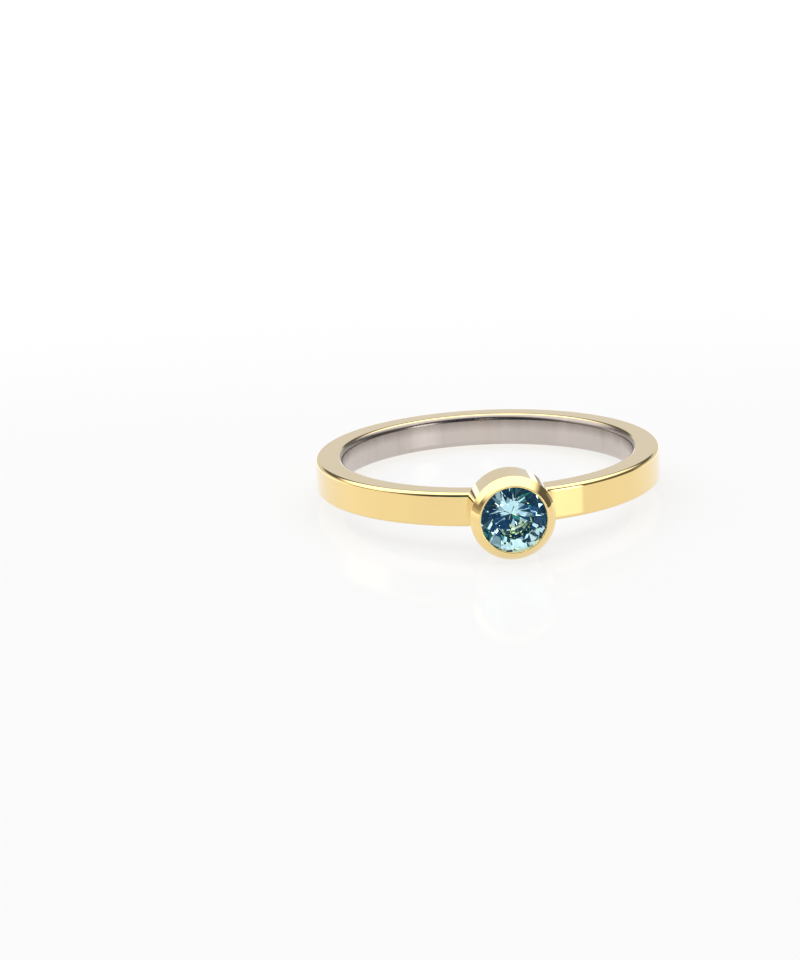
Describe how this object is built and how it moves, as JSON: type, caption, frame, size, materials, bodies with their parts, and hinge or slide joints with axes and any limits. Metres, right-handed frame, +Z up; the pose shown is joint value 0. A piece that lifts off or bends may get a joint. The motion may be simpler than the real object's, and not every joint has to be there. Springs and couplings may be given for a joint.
{
  "type": "finger ring with a bezel-set stone",
  "caption": "Flat finger ring with a round bezel soldered to its outside, holding a faceted round stone. It lies on its side.",
  "frame": {"origin": "on the floor, in the middle of the resting ring's box", "axes": "+Z up; the bezel and its stone look along -Y, a little upwards; the band's sides are at -X and +X"},
  "size_m": [0.0206, 0.0232, 0.005],
  "materials": {
    "polished_gold": "polished gold colour on the outside, with the inside of the band left as polished grey metal",
    "blue_stone": "clear greenish blue, polished facets"
  },
  "bodies": {
    "root": {"band_and_bezel": "polished_gold", "stone": "blue_stone"}
  },
  "joints": []
}
